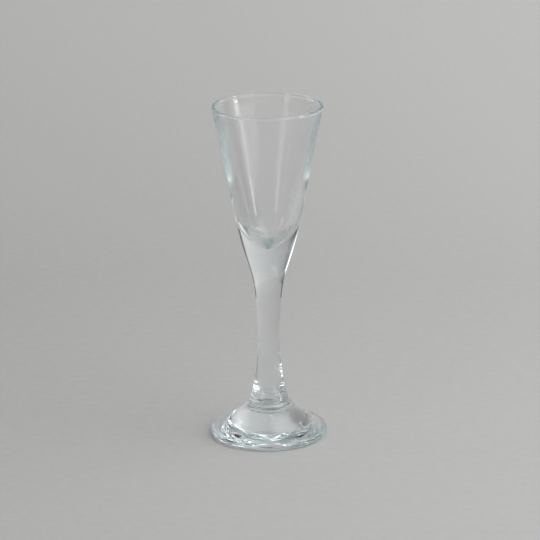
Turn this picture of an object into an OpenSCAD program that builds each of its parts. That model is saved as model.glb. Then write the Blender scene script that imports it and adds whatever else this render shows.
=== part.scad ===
// Cordial glass: a tall flared bowl on a solid funnel, a waisted stem and a heavy stepped foot.
// The origin is the middle of the resting plane and +Z is the axis of the glass.
// Three pieces of hot glass are joined face to face by two flat welds.

/* [Bowl] */
// Height of the bowl piece, from its weld to the top of the rim
bowl_h = 92.7; // [80:0.1:130]
// Diameter over the rim
rim_d = 47.2; // [40:0.1:64]
// Radius of the rounded rim, which is a little thicker than the wall below it
rim_round = 0.75; // [0.65:0.05:0.95]
// Depth below the top of the rim at which the plain wall starts
plain_depth = 2.1; // [1.7:0.1:3]
// How far the outside has drawn in from the rim at that depth
plain_inset = 0.29; // [0.2:0.01:0.5]
// Wall thickness at that depth, measured level
plain_wall = 1.35; // [1.1:0.05:1.8]
// Diameter at the shoulder, where the flared side meets the solid funnel
shoulder_d = 28.2; // [24:0.1:34]
// Height of the shoulder above the weld
shoulder_h = 43.7; // [38:0.1:52]
// Wall thickness at the shoulder, measured level
shoulder_wall = 4.5; // [3.5:0.1:5.5]
// Depth of the drinking hollow, from the top of the rim to its point
hollow_h = 61.2; // [56:0.1:66]
// Radius of the rounded point at the bottom of the hollow
point_round = 0.6; // [0.4:0.1:1.2]

/* [Stem] */
// Length of the stem piece between its two welds
stem_h = 39.6; // [30:0.1:70]
// Diameter of the weld between the stem and the bowl
top_weld_d = 10.1; // [9.4:0.1:13]
// Diameter of the waist, the narrowest place of the stem
waist_d = 9.04; // [7:0.01:9.2]
// Height of the waist above the weld on the foot
waist_h = 29.3; // [20:0.1:29.6]
// Diameter where the flared end runs into its ring
neck_d = 16.3; // [13:0.1:17]
// Height of that place above the weld on the foot
neck_h = 3; // [2.4:0.1:4]
// Diameter over the ring at the flared end
ring_d = 18.6; // [18:0.1:20]
// Radius of the ring's rounded side
ring_round = 0.9; // [0.7:0.05:1]
// Height of the ring's widest line above the weld on the foot
ring_h = 0.35; // [0.3:0.05:0.65]

/* [Foot] */
// Height of the foot piece, from the resting plane to the weld on the stem
foot_h = 13.7; // [12.8:0.1:16]
// Diameter over the rounded edge
foot_d = 50.4; // [48:0.1:60]
// Thickness of the rounded edge
edge_t = 3.7; // [3:0.1:4.2]
// Diameter over the bead at the top of the dome
bead_d = 21.4; // [20.6:0.1:24]
// Radius of the bead's rounded side
bead_round = 0.6; // [0.4:0.05:0.8]
// Height of the bead's widest line above the resting plane
bead_h = 12.6; // [11.8:0.1:12.8]
// Width of the flange, from the edge of the foot to the valley where the dome runs out
flange_w = 6.4; // [4:0.1:7]
// Width of the dome's fall, from the valley up to the brow where it turns down
fall_w = 2.6; // [2:0.1:3.5]
// Height of the brow above the resting plane
brow_h = 8.1; // [7.4:0.1:8.8]
// Height of the valley above the resting plane
valley_h = 5.4; // [4.8:0.1:6]
// Width of the flat ring that it rests on, between the rounded edge and the hollow underneath
rest_w = 1.15; // [0.8:0.05:6]
// Depth of that hollow at the axis
kick_h = 1.7; // [0.8:0.1:3]

/* [Hidden] */
$fn = 96;
// Straight steps between two stations of a flowing stretch
flow_steps = 7;
// Fewest straight steps of a rounded stretch, and the widest turn of one of them in degrees
arc_steps = 9;
arc_turn = 18;
clear_glass = [0.80, 0.87, 0.86, 0.45];

rim_r = rim_d / 2;
shoulder_r = shoulder_d / 2;
top_weld_r = top_weld_d / 2;
waist_r = waist_d / 2;
neck_r = neck_d / 2;
ring_r = ring_d / 2;
bead_r = bead_d / 2;
edge_r = edge_t / 2;
valley_r = foot_d / 2 - flange_w;
brow_r = valley_r - fall_w;
kick_r = foot_d / 2 - edge_r - rest_w;
plain_r = rim_r - plain_inset;

// Lean of a wall is how far it spreads for each step up; where two stretches meet they share it
plain_lean_share = 0.21;
shoulder_lean_share = 0.21;
top_weld_lean_share = 0.065;
neck_lean_share = -0.38;
hollow_plain_lean_share = 0.265;
hollow_shoulder_lean_share = 0.278;

// Fall of the top of the foot is how far it drops for each step outwards
valley_fall_share = -0.42;
brow_fall_share = -0.82;
bead_fall_share = -0.5;

// Stations inside a stretch: share of its height, share of its spread, and lean against their ratio
side_shares = [[0.685, 0.656, 0.995]];
funnel_shares = [[0.20, 0.063, 0.43], [0.474, 0.315, 1.45], [0.657, 0.591, 1.37]];
flare_shares = [[0.205, 0.402, 1.52], [0.47, 0.69, 0.91]];
hollow_shares = [[0.25, 0.40, 1.48], [0.54, 0.729, 0.74]];
hollow_side_shares = [[0.685, 0.663, 0.996]];

// Angles at which the rounded stretches start and stop, in degrees
lip_start = -18;
lip_stop = 198;
edge_stop = 72;
ring_stop = 50;
bead_start = 75;
bead_stop = -50;
point_stop = -42;

// Middle stations of a stretch between two ends, each written as radius, height and lean
function between(low, high, shares) = [
    for (s = shares) [
        low[0] + s[1] * (high[0] - low[0]),
        low[1] + s[0] * (high[1] - low[1]),
        s[2] * (high[0] - low[0]) / (high[1] - low[1])
    ]
];

// Smooth line through a list of stations, with the lean kept at each of them
function flow(stations) = [
    for (i = [0 : len(stations) - 2])
        for (k = [(i == 0 ? 0 : 1) : flow_steps])
            let (a = stations[i], b = stations[i + 1], rise = b[1] - a[1])
            let (t = k / flow_steps, u = 1 - t)
            [
                u * u * (1 + 2 * t) * a[0] + t * t * (3 - 2 * t) * b[0] + t * u * rise * (u * a[2] - t * b[2]),
                a[1] + t * rise
            ]
];

// Round stretch about a centre, from one angle to another
function arc(centre, radius, from, to) =
    let (steps = max(arc_steps, ceil(abs(to - from) / arc_turn)))
    [
        for (k = [0 : steps])
            let (angle = from + (to - from) * k / steps)
            [centre[0] + radius * cos(angle), centre[1] + radius * sin(angle)]
    ];

function last(points) = points[len(points) - 1];
function backwards(points) = [for (k = [len(points) - 1 : -1 : 0]) points[k]];
function swapped(points) = [for (p = points) [p[1], p[0]]];

// The bowl: flared side outside, thickened round lip, then the hollow down to its point
module bowl() {
    foot_end = [top_weld_r, 0, top_weld_lean_share];
    shoulder = [shoulder_r, shoulder_h, shoulder_lean_share];
    plain_h = bowl_h - plain_depth;
    plain = [plain_r, plain_h, plain_lean_share];
    lip = arc([rim_r - rim_round, bowl_h - rim_round], rim_round, lip_start, lip_stop);
    lip_out = [lip[0][0], lip[0][1], -tan(lip_start)];
    lip_in = [last(lip)[0], last(lip)[1], -tan(lip_stop)];
    outside = flow(concat(
        [foot_end], between(foot_end, shoulder, funnel_shares),
        [shoulder], between(shoulder, plain, side_shares), [plain, lip_out]
    ));
    point_centre = bowl_h - hollow_h + point_round;
    point = arc([0, point_centre], point_round, point_stop, -90);
    point_end = [point[0][0], point[0][1], -tan(point_stop)];
    hollow_shoulder = [shoulder_r - shoulder_wall, shoulder_h, hollow_shoulder_lean_share];
    hollow_plain = [plain_r - plain_wall, plain_h, hollow_plain_lean_share];
    hollow = flow(concat(
        [point_end], between(point_end, hollow_shoulder, hollow_shares),
        [hollow_shoulder], between(hollow_shoulder, hollow_plain, hollow_side_shares),
        [hollow_plain, lip_in]
    ));
    color(clear_glass)
        translate([0, 0, foot_h + stem_h])
            rotate_extrude()
                polygon(concat([[0, 0]], outside, lip, backwards(hollow), point));
}

module stem() {
    ring_centre = [ring_r - ring_round, ring_h];
    ring = arc(ring_centre, ring_round, -asin(ring_h / ring_round), ring_stop);
    ring_end = last(ring);
    neck = [neck_r, neck_h, neck_lean_share];
    waist = [waist_r, waist_h, 0];
    top = [top_weld_r, stem_h, top_weld_lean_share];
    side = flow(concat(
        [[ring_end[0], ring_end[1], -tan(ring_stop)], neck],
        between(neck, waist, flare_shares), [waist, top]
    ));
    color(clear_glass)
        translate([0, 0, foot_h])
            rotate_extrude()
                polygon(concat([[0, 0]], ring, side, [[0, stem_h]]));
}

module foot() {
    weld_r = ring_r - ring_round + sqrt(ring_round * ring_round - ring_h * ring_h);
    edge = arc([foot_d / 2 - edge_r, edge_r], edge_r, -90, edge_stop);
    edge_end = last(edge);
    bead = arc([bead_r - bead_round, bead_h], bead_round, bead_stop, bead_start);
    bead_foot = bead[0];
    top = swapped(flow([
        [edge_end[1], edge_end[0], -1 / tan(edge_stop)],
        [valley_h, valley_r, valley_fall_share],
        [brow_h, brow_r, brow_fall_share],
        [bead_foot[1], bead_foot[0], bead_fall_share]
    ]));
    kick_sphere = (kick_r * kick_r + kick_h * kick_h) / (2 * kick_h);
    kick_turn = asin(kick_r / kick_sphere);
    kick = arc([0, kick_h - kick_sphere], kick_sphere, 90, 90 - kick_turn);
    color(clear_glass)
        rotate_extrude()
            polygon(concat(kick, edge, top, bead, [[weld_r, foot_h], [0, foot_h]]));
}

bowl();
stem();
foot();
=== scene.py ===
import math

import bpy
from mathutils import Matrix, Vector


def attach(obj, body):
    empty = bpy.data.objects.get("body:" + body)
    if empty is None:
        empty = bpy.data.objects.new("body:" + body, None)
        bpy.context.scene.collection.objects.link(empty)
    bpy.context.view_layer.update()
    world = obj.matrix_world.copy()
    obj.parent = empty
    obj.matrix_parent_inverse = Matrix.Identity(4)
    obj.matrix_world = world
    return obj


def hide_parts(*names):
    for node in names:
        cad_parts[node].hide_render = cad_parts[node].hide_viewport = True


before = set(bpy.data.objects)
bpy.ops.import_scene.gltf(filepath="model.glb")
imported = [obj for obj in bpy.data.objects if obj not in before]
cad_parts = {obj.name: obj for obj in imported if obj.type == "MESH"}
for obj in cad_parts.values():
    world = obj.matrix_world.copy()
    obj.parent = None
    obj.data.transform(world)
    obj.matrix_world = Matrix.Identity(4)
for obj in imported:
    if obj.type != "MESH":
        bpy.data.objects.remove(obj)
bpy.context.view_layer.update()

# The camera stands about 1.3 m away and looks down on the glass at about 17 degrees.
# A long lens keeps the sides of the flared bowl straight, and a trace of roll levels the foot.
look_down = math.radians(16.8)
distance = 1.283
aim = Vector((0.00068, 0, 0.07355))
roll = math.radians(-0.32)
back = Vector((0, -math.cos(look_down), math.sin(look_down)))
side = Vector((1, 0, 0))
rise = back.cross(side)
across = math.cos(roll) * side + math.sin(roll) * rise
upward = math.cos(roll) * rise - math.sin(roll) * side
lens = bpy.data.cameras.new("camera")
lens.lens = 200
lens.sensor_width = 36
lens.clip_end = 50
camera = bpy.data.objects.new("camera", lens)
stand = Matrix((across, upward, back)).transposed().to_4x4()
stand.translation = aim + distance * back
camera.matrix_world = stand
bpy.context.scene.collection.objects.link(camera)
bpy.context.scene.camera = camera

# Standard colour, and enough bounces for the light that runs down inside the thin wall, which
# gives the rim and the edges of the bowl their cool tint. Mirrored light is left unfiltered,
# so that it comes through the foot to the floor.
wall_bounces = 96
cycles = bpy.context.scene.cycles
cycles.max_bounces = wall_bounces
cycles.transmission_bounces = wall_bounces
cycles.glossy_bounces = wall_bounces
cycles.transparent_max_bounces = 32
cycles.blur_glossy = 0
bpy.context.scene.view_settings.view_transform = "Standard"


# The floor is a wide sheet of pale grey paper, matt and faintly mottled, that lies a hair below
# the foot. Its colour carries painted light: lighter towards the right, a little in front of the
# glass, and far away.
class Signal:
    """A socket in a material, so that sums on it are written as sums."""

    def __init__(self, tree, socket=None):
        self.tree = tree
        self.socket = socket

    def node(self, kind, settings, sockets, output=0):
        made = self.tree.nodes.new(kind)
        for name, value in settings.items():
            setattr(made, name, value)
        for name, value in sockets.items():
            if isinstance(value, Signal):
                self.tree.links.new(value.socket, made.inputs[name])
            else:
                made.inputs[name].default_value = value
        return Signal(self.tree, made.outputs[output]) if made.outputs else made

    def math(self, operation, first, second):
        return self.node("ShaderNodeMath", {"operation": operation}, {0: first, 1: second})

    def __add__(self, other):
        return self.math("ADD", self, other)

    __radd__ = __add__

    def __mul__(self, other):
        return self.math("MULTIPLY", self, other)

    __rmul__ = __mul__

    def __sub__(self, other):
        return self.math("SUBTRACT", self, other)

    def __rsub__(self, other):
        return self.math("SUBTRACT", other, self)

    def __truediv__(self, other):
        return self.math("DIVIDE", self, other)

    def __rtruediv__(self, other):
        return self.math("DIVIDE", other, self)


def new_material(name):
    material = bpy.data.materials.new(name)
    material.use_nodes = True
    material.node_tree.nodes.clear()
    return material, Signal(material.node_tree)


def along(axis, vector):
    """How far a vector reaches along one axis."""
    return vector.node("ShaderNodeSeparateXYZ", {}, {0: vector}, axis)


def ramp(value, start, stop, low, high, kind="LINEAR"):
    """Low up to start, high from stop on, and a slope between them."""
    return value.node("ShaderNodeMapRange", {"interpolation_type": kind}, {
        "Value": value, "From Min": start, "From Max": stop, "To Min": low, "To Max": high,
    })


paper_radius = 6
paper_drop = 0.00005
bpy.ops.object.select_all(action="DESELECT")
bpy.ops.mesh.primitive_circle_add(
    vertices=96, radius=paper_radius, fill_type="NGON", location=(0, 0, -paper_drop)
)
bpy.ops.object.transform_apply(location=True, rotation=True, scale=True)
paper = bpy.context.object
paper.name = "paper"

# The painted light far away goes by the share away / (away + 1), so that it levels off towards the
# horizon.
paper_grey = 0.409
mottle_depth = 0.05
right_painted_light = 0.38
front_painted_light = 0.032
front_start, front_stop = -0.1, 0.22
far_painted_light = 0.14
far_start, far_stop = 0.206, 0.857
blue_share = 0.99
paper_finish, shade = new_material("paper")
place = shade.node("ShaderNodeTexCoord", {}, {}, "Object")
mottle = shade.node("ShaderNodeTexNoise", {}, {"Vector": place, "Scale": 240.0, "Detail": 4.0})
away = shade.node("ShaderNodeVectorMath", {"operation": "LENGTH"}, {0: place}, "Value")
# Painted light: the paper's grey is lifted towards the right, a little in front of the glass and
# far away.
painted_light_to_right = along("X", place) / (away + 1.0) * right_painted_light
painted_light_in_front = ramp(along("Y", place), front_start, front_stop, front_painted_light, 0.0)
painted_light_far_off = ramp(away / (away + 1.0), far_start, far_stop, 0.0, far_painted_light)
grey = paper_grey + mottle * mottle_depth + painted_light_to_right + painted_light_in_front + painted_light_far_off
tone = shade.node("ShaderNodeCombineColor", {}, {
    "Red": grey, "Green": grey, "Blue": grey * blue_share,
})
surface = shade.node("ShaderNodeBsdfPrincipled", {}, {
    "Base Color": tone, "Roughness": 0.9, "Specular IOR Level": 0.1,
})
shade.node("ShaderNodeOutputMaterial", {}, {"Surface": surface})
paper.data.materials.append(paper_finish)

# The studio is a soft grey room, a little brighter to the right. A broad glow high at the right
# lights the floor to its plain level, and darker places behind draw dark lines in the glass.
world = bpy.data.worlds.new("room")
bpy.context.scene.world = world
world.use_nodes = True
world.node_tree.nodes.clear()
room = Signal(world.node_tree)
way = room.node("ShaderNodeTexCoord", {}, {}, "Generated")


def glow(bearing, height, core, fade, amount):
    """A soft round part of the room, by its direction and its two radii in degrees."""
    turn, tilt = math.radians(bearing), math.radians(height)
    middle = (math.cos(tilt) * math.sin(turn), -math.cos(tilt) * math.cos(turn), math.sin(tilt))
    near = room.node(
        "ShaderNodeVectorMath", {"operation": "DOT_PRODUCT"}, {0: way, 1: middle}, "Value"
    )
    at_fade, at_core = math.cos(math.radians(fade)), math.cos(math.radians(core))
    return ramp(near, at_fade, at_core, 0.0, amount, "SMOOTHSTEP")


# Each soft part is given by its bearing, height, core, fade and amount.
room_level = 0.50
room_tilt = 0.25
level = room_level + room_tilt * along("X", way)
for part in [
    (68, 54, 8, 38, 2.6),       # the broad glow high at the right
    (68, 16, 5, 20, -0.62),     # the dim part under it
    (-110, 3, 8, 40, -0.20),    # darker low at the left
    (-150, 22, 4, 14, -0.12),   # a little darker behind at the left
    (150, 20, 4, 14, 0.12),     # a little lighter behind at the right
    (180, 35, 3, 9, -0.35),     # two dark places behind, for the dark line in the neck
    (165, 36, 3, 9, -0.30),
]:
    level = level + glow(*part)
sky = room.node("ShaderNodeBackground", {}, {"Color": (1, 1, 1, 1), "Strength": level})
room.node("ShaderNodeOutputWorld", {}, {"Surface": sky})


# Five lamps behind sheets of diffuser stand round the glass, 1.4 m from it, and point at its
# middle. Each draws a streak, a line or a crescent of its own in the bowl.
def bearing_spot(bearing, reach, height):
    """A place by its bearing from the glass: 0 degrees is the camera's side and 90 the right."""
    turn = math.radians(bearing)
    return Vector((reach * math.sin(turn), -reach * math.cos(turn), height))


def soft_lamp(name, bearing, middle, width, height, brightness):
    """A soft lamp. A brightness of 1 is that of a white sheet in full light."""
    reach = 1.4
    aim_height = 0.08
    lamp = bpy.data.lights.new(name, "AREA")
    lamp.shape = "RECTANGLE"
    lamp.size = width
    lamp.size_y = height
    lamp.energy = brightness * math.pi * width * height
    holder = bpy.data.objects.new(name, lamp)
    holder.location = bearing_spot(bearing, reach, middle)
    towards = Vector((0, 0, aim_height)) - holder.location
    holder.rotation_euler = towards.to_track_quat("-Z", "Y").to_euler()
    bpy.context.scene.collection.objects.link(holder)


# The key draws the long streak down the bowl, and the fill the soft light beside it.
soft_lamp("lamp_key", 75, 0.27, 0.23, 0.38, 6.5)
soft_lamp("lamp_fill", 48, 0.15, 1.0, 0.18, 2.6)

# The left lamp draws the thin streak right of the middle.
soft_lamp("lamp_left", -43, 0.26, 0.33, 0.30, 2.3)

# The back lamp draws the crescent and the white patches at the left of the bowl, and the window
# the white line and the crescent at its right edge.
soft_lamp("lamp_back", 118, 0.70, 0.35, 0.45, 2.5)
soft_lamp("lamp_window", -108, 0.53, 0.60, 0.36, 2.0)


# Two black cards stand upright near the glass, outside the picture. They are seen only in the
# glass, where each draws a dark line along an edge.
def black_card(name, bearing, width, height):
    reach = 0.38
    bpy.ops.object.select_all(action="DESELECT")
    bpy.ops.mesh.primitive_plane_add(size=1, location=(0, 0, 0))
    card = bpy.context.object
    card.name = name
    card.scale = (width, height, 1)
    card.rotation_euler = (math.radians(90), 0, math.radians(bearing))
    card.location = bearing_spot(bearing, reach, height / 2)
    bpy.ops.object.transform_apply(location=True, rotation=True, scale=True)
    card.data.materials.append(black_finish)
    card.visible_camera = card.visible_shadow = card.visible_diffuse = False


black_finish, shade = new_material("black_card")
surface = shade.node("ShaderNodeBsdfPrincipled", {}, {
    "Base Color": (0.02, 0.02, 0.02, 1), "Roughness": 0.9,
})
shade.node("ShaderNodeOutputMaterial", {}, {"Surface": surface})
black_card("card_right", 109, 0.21, 0.20)
black_card("card_left", -112, 0.19, 0.155)


# The bowl is one gather of clear soda glass, drawn to a solid funnel and blown to a flared hollow.
# Its rim is cracked off and melted round in the flame. The flat end is the weld on the stem.
def flow(stations):
    """A smooth line through stations, each its radius, height and lean, in millimetres."""
    steps = 12
    points = []
    for low, high in zip(stations, stations[1:]):
        tall = high[1] - low[1]
        for k in range(1 if points else 0, steps + 1):
            t = k / steps
            u = 1 - t
            points.append((
                u * u * (1 + 2 * t) * low[0] + t * t * (3 - 2 * t) * high[0]
                + t * u * tall * (u * low[2] - t * high[2]),
                low[1] + t * tall,
            ))
    return points


def between(low, high, shares):
    """Stations inside a stretch, by share of its height and spread and by relative lean."""
    tall, spread = high[1] - low[1], high[0] - low[0]
    return [(low[0] + s * spread, low[1] + h * tall, lean * spread / tall) for h, s, lean in shares]


def rounded(centre, radius, start, stop, steps):
    """A round stretch of an outline, from one angle to another in degrees."""
    turns = [math.radians(start + (stop - start) * k / steps) for k in range(steps + 1)]
    return [(centre[0] + radius * math.cos(a), centre[1] + radius * math.sin(a)) for a in turns]


def lean_of(turn):
    """The lean of a line that stands this many degrees off upright."""
    return math.tan(math.radians(turn))


def turned(name, outline):
    """Spins an outline of radius and height, in millimetres, round the axis of the glass."""
    turns = 256
    same_place = 0.000002
    sharpest = math.radians(28)
    bpy.ops.object.select_all(action="DESELECT")
    bpy.ops.mesh.primitive_plane_add(size=0.001, location=(0, 0, 0))
    piece = bpy.context.object
    piece.name = piece.data.name = name
    bpy.ops.object.mode_set(mode="EDIT")
    bpy.ops.mesh.merge(type="CENTER")
    bpy.ops.transform.translate(value=(outline[0][0] / 1000, 0, outline[0][1] / 1000))
    for last, point in zip(outline, outline[1:]):
        step = ((point[0] - last[0]) / 1000, 0, (point[1] - last[1]) / 1000)
        bpy.ops.mesh.extrude_vertices_move(TRANSFORM_OT_translate={"value": step})
    bpy.ops.mesh.select_all(action="SELECT")
    bpy.ops.mesh.spin(steps=turns, angle=2 * math.pi, center=(0, 0, 0), axis=(0, 0, 1))
    bpy.ops.mesh.select_all(action="SELECT")
    bpy.ops.mesh.remove_doubles(threshold=same_place)
    bpy.ops.mesh.normals_make_consistent(inside=False)
    bpy.ops.object.mode_set(mode="OBJECT")
    bpy.ops.object.shade_smooth_by_angle(angle=sharpest)
    return piece


def mark_weld(piece, heights):
    """Marks the flat faces at these heights, where the piece is one with its neighbour."""
    level_enough = 0.999
    same_height = 0.000005
    mark = piece.data.attributes.new("weld", "FLOAT", "FACE")
    for face in piece.data.polygons:
        flat = abs(face.normal.z) > level_enough
        on = any(abs(face.center.z - height / 1000) < same_height for height in heights)
        mark.data[face.index].value = 1.0 if flat and on else 0.0


# The outside runs from the weld up the funnel, over the shoulder and up the side to the lip.
weld_height = 53.3
weld_radius = 5.05
weld_lean = 0.065
weld_gap = 0.01
shoulder = (14.1, 97.0, 0.21)
rim_radius = 23.6
rim_height = 146
rim_round = 0.75
rim_turn = 18
under_rim = (23.31, 143.9, 0.21)
funnel_shares = [(0.20, 0.063, 0.43), (0.474, 0.315, 1.45), (0.657, 0.591, 1.37)]
side_shares = [(0.685, 0.656, 0.995)]
lip_centre = (rim_radius - rim_round, rim_height - rim_round)
lip = rounded(lip_centre, rim_round, -rim_turn, 180 + rim_turn, steps=24)
lip_out = (*lip[0], lean_of(rim_turn))
lip_in = (*lip[-1], -lean_of(rim_turn))
funnel_end = (weld_radius, weld_height + weld_gap, weld_lean)
outer_side = flow(
    [funnel_end] + between(funnel_end, shoulder, funnel_shares)
    + [shoulder] + between(shoulder, under_rim, side_shares) + [under_rim, lip_out]
)

# The hollow runs from its blunt point up to the same lip, and leaves the wall thin at the top.
shoulder_wall = 4.5
under_wall = 1.35
point_bottom = 84.8
point_round = 0.6
point_turn = 42
low_hollow_shares = [(0.25, 0.40, 1.48), (0.54, 0.729, 0.74)]
high_hollow_shares = [(0.685, 0.663, 0.996)]
point = rounded((0, point_bottom + point_round), point_round, -point_turn, -90, steps=8)
point_end = (*point[0], lean_of(point_turn))
hollow_shoulder = (shoulder[0] - shoulder_wall, shoulder[1], 0.278)
under_in = (under_rim[0] - under_wall, under_rim[1], 0.265)
hollow = flow(
    [point_end] + between(point_end, hollow_shoulder, low_hollow_shares)
    + [hollow_shoulder] + between(hollow_shoulder, under_in, high_hollow_shares)
    + [under_in, lip_in]
)
bowl_outline = [(0, funnel_end[1])] + outer_side + lip[1:] + hollow[::-1][1:] + point[1:]
bowl = turned("bowl_glass", bowl_outline)
mark_weld(bowl, [funnel_end[1]])

# All three pieces are of this one glass, which has a faint cool tint. The blown wall is less
# smooth than the drawn and pressed glass below it and the melted rim above it, the resting ring
# is worn, and the marked welds are left clear. Heights in this material are in metres.
pressed_rough = 0.01
blown_rough = 0.14
worn_rough = 0.18
blown_start, blown_stop = 0.112, 0.120
melted_start, melted_stop = 0.1425, 0.144
worn_height = 0.00025
wave_stretch = 0.35
wave_depth = 0.00001
glass, shade = new_material("clear_glass")
place = shade.node("ShaderNodeTexCoord", {}, {}, "Object")
weld = shade.node("ShaderNodeAttribute", {"attribute_name": "weld"}, {}, "Fac")
drawn = shade.node("ShaderNodeMapping", {}, {"Vector": place, "Scale": (1.0, 1.0, wave_stretch)})
waves = shade.node("ShaderNodeTexNoise", {}, {"Vector": drawn, "Scale": 90.0, "Detail": 1.0})
ripple = shade.node("ShaderNodeBump", {}, {
    "Strength": 1.0, "Distance": wave_depth, "Height": waves,
})
up = along("Z", place)
blown = ramp(up, blown_start, blown_stop, pressed_rough, blown_rough)
melted = ramp(up, melted_start, melted_stop, 0.0, blown_rough - pressed_rough)
worn = ramp(up, 0.0, worn_height, worn_rough, 0.0)
surface = shade.node("ShaderNodeBsdfPrincipled", {}, {
    "Base Color": (1, 1, 1, 1),
    "Roughness": blown - melted + worn,
    "IOR": 1.52,
    "Transmission Weight": 1.0,
    "Alpha": 1 - weld,
    "Normal": ripple,
})
tint = shade.node("ShaderNodeVolumeAbsorption", {}, {
    "Color": (0.05, 0.45, 0.50, 1), "Density": 3.6,
})
shade.node("ShaderNodeOutputMaterial", {}, {"Surface": surface, "Volume": tint})
bowl.data.materials.append(glass)
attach(bowl, "root")
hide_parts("bowl")

# The stem is drawn from the same glass: a waisted rod that flares to a small rolled ring.
# Both its ends are flat welds, hot on hot, which vanish in the clear glass.
foot_height = 13.7
ring_radius = 9.3
ring_height = 14.05
ring_round = 0.9
ring_turn = 50
neck = (8.15, 16.7, -0.38)
waist = (4.52, 43.0, 0)
top_weld = (weld_radius, weld_height, weld_lean)
flare_shares = [(0.205, 0.402, 1.52), (0.47, 0.69, 0.91)]
ring_start = -math.degrees(math.asin((ring_height - foot_height) / ring_round))
ring_centre = (ring_radius - ring_round, ring_height)
ring = rounded(ring_centre, ring_round, ring_start, ring_turn, steps=12)
stem_side = flow(
    [(*ring[-1], -lean_of(ring_turn)), neck]
    + between(neck, waist, flare_shares) + [waist, top_weld]
)
stem_foot = foot_height + weld_gap
ring[0] = (ring[0][0], stem_foot)
stem = turned("stem_glass", [(0, stem_foot)] + ring + stem_side[1:] + [(0, weld_height)])
mark_weld(stem, [stem_foot, weld_height])
stem.data.materials.append(glass)
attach(stem, "root")
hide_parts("stem")

# The foot is pressed: a stepped dome that runs out to a flat flange with a rounded edge.
# It is slightly hollow underneath, so that the glass stands on a narrow ring.
foot_radius = 25.2
edge_round = 1.85
edge_turn = 72
bead_radius = 10.7
bead_height = 12.6
bead_round = 0.6
edge = rounded((foot_radius - edge_round, edge_round), edge_round, -90, edge_turn, steps=18)
bead = rounded((bead_radius - bead_round, bead_height), bead_round, -50, 75, steps=12)

# The dome runs from the edge over the valley and the brow up to the bead. It is more level than
# upright, so its stations give the height first, then the radius and the fall.
valley = (5.4, 18.8, -0.42)
brow = (8.1, 16.2, -0.82)
edge_end = (edge[-1][1], edge[-1][0], -1 / lean_of(edge_turn))
under_bead = (bead[0][1], bead[0][0], -0.5)
dome = [(radius, height) for height, radius in flow([edge_end, valley, brow, under_bead])]

# The shallow hollow underneath is a small part of a large ball.
kick_radius = 22.2
kick_height = 1.7
kick_ball = (kick_radius ** 2 + kick_height ** 2) / (2 * kick_height)
kick_turn = math.degrees(math.asin(kick_radius / kick_ball))
kick = rounded((0, kick_height - kick_ball), kick_ball, 90, 90 - kick_turn, steps=24)
kick[0] = (0, kick_height)
foot_weld = [(ring[0][0], foot_height), (0, foot_height)]
foot = turned("foot_glass", kick + edge + dome[1:] + bead[1:] + foot_weld)
mark_weld(foot, [foot_height])
foot.data.materials.append(glass)
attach(foot, "root")
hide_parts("foot")
